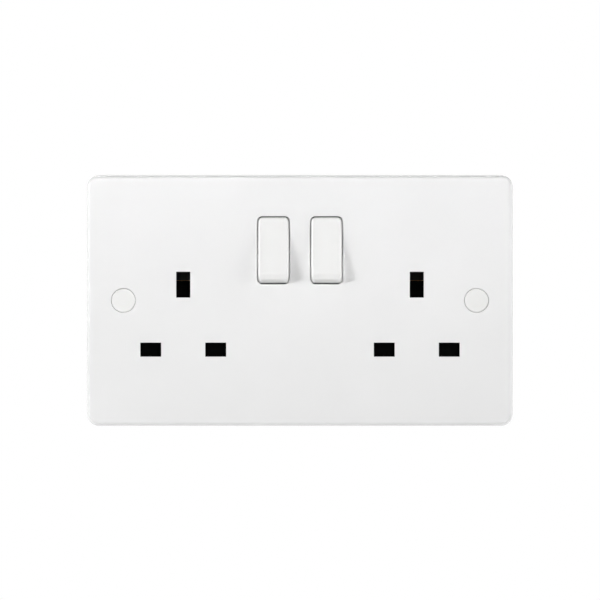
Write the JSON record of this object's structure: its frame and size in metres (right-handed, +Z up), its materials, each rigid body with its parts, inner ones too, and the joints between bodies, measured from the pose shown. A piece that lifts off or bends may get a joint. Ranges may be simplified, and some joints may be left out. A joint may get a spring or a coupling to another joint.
{
  "type": "switched wall socket",
  "caption": "White wall-mounted mains socket plate with pin slots, tilting rocker switches, round screw covers, sprung shutters and a rear contact base.",
  "frame": {"origin": "centre of the fixing screws' pattern in the wall plane, at the faceplate's rear rim", "axes": "+X to the right seen from the front, +Y into the wall, +Z up"},
  "size_m": [0.146, 0.0358, 0.086],
  "materials": {
    "plate_white": "satin moulded white",
    "rocker_white": "satin moulded white, a touch warmer",
    "cap_white": "satin moulded white, a touch warmer",
    "base_grey": "dull moulded charcoal",
    "shutter_black": "dull black",
    "plunger_nylon": "natural nylon",
    "bar_brass": "stamped brass",
    "terminal_brass": "machined brass",
    "clip_bronze": "rolled bronze",
    "tip_silver": "dull silver",
    "spring_steel": "drawn wire",
    "screw_zinc": "zinc plated",
    "terminal_screw_steel": "nickel plated"
  },
  "bodies": {
    "housing": {"faceplate": "plate_white", "left_screw_cap": "cap_white", "right_screw_cap": "cap_white", "rear_base": "base_grey", "live_feed_bar": "bar_brass", "neutral_bar": "bar_brass", "earth_bar": "bar_brass", "left_line_bar": "bar_brass", "right_line_bar": "bar_brass", "live_terminal": "terminal_brass", "neutral_terminal": "terminal_brass", "left_earth_terminal": "terminal_brass", "right_earth_terminal": "terminal_brass", "left_line_clip": "clip_bronze", "left_neutral_clip": "clip_bronze", "left_earth_clip": "clip_bronze", "right_line_clip": "clip_bronze", "right_neutral_clip": "clip_bronze", "right_earth_clip": "clip_bronze", "left_fixed_tip": "tip_silver", "right_fixed_tip": "tip_silver", "left_shutter_spring": "spring_steel", "right_shutter_spring": "spring_steel", "fixing_screws": "screw_zinc", "base_screws": "screw_zinc", "terminal_screws": "terminal_screw_steel"},
    "left_rocker": {"left_rocker": "rocker_white", "left_plunger_spring": "spring_steel"},
    "left_plunger": {"left_plunger": "plunger_nylon"},
    "left_contact": {"left_moving_contact": "clip_bronze", "left_moving_tip": "tip_silver"},
    "left_shutter": {"left_shutter": "shutter_black"},
    "right_rocker": {"right_rocker": "rocker_white", "right_plunger_spring": "spring_steel"},
    "right_plunger": {"right_plunger": "plunger_nylon"},
    "right_contact": {"right_moving_contact": "clip_bronze", "right_moving_tip": "tip_silver"},
    "right_shutter": {"right_shutter": "shutter_black"}
  },
  "joints": [
    {"name": "left_rocker_tilt", "type": "hinge", "parent": "housing", "child": "left_rocker", "pos_m": [-0.00905, -0.007, 0.01715], "axis": [1, 0, 0], "range_deg": [0, 20]},
    {"name": "left_contact_rock", "type": "hinge", "parent": "housing", "child": "left_contact", "pos_m": [-0.00905, 0.00702, 0.01715], "axis": [1, 0, 0], "range_deg": [-22, 0]},
    {"name": "left_plunger_slide", "type": "slide", "parent": "left_rocker", "child": "left_plunger", "axis": [0, -0.9848, 0.1736], "range_m": [0, 0.001], "stiffness_N_per_m": 400, "springref_m": -0.002, "deforming": ["left_plunger_spring"]},
    {"name": "left_shutter_slide", "type": "slide", "parent": "housing", "child": "left_shutter", "axis": [0, 0, -1], "range_m": [0, 0.0058], "stiffness_N_per_m": 80, "springref_m": -0.004, "deforming": ["left_shutter_spring"]},
    {"name": "right_rocker_tilt", "type": "hinge", "parent": "housing", "child": "right_rocker", "pos_m": [0.00905, -0.007, 0.01715], "axis": [1, 0, 0], "range_deg": [0, 20]},
    {"name": "right_contact_rock", "type": "hinge", "parent": "housing", "child": "right_contact", "pos_m": [0.00905, 0.00702, 0.01715], "axis": [1, 0, 0], "range_deg": [-22, 0]},
    {"name": "right_plunger_slide", "type": "slide", "parent": "right_rocker", "child": "right_plunger", "axis": [0, -0.9848, 0.1736], "range_m": [0, 0.001], "stiffness_N_per_m": 400, "springref_m": -0.002, "deforming": ["right_plunger_spring"]},
    {"name": "right_shutter_slide", "type": "slide", "parent": "housing", "child": "right_shutter", "axis": [0, 0, -1], "range_m": [0, 0.0058], "stiffness_N_per_m": 80, "springref_m": -0.004, "deforming": ["right_shutter_spring"]}
  ],
  "couplings": [
    {"joint": "left_contact_rock", "follows": "left_rocker_tilt", "ratio": -1.1},
    {"joint": "right_contact_rock", "follows": "right_rocker_tilt", "ratio": -1.1}
  ]
}
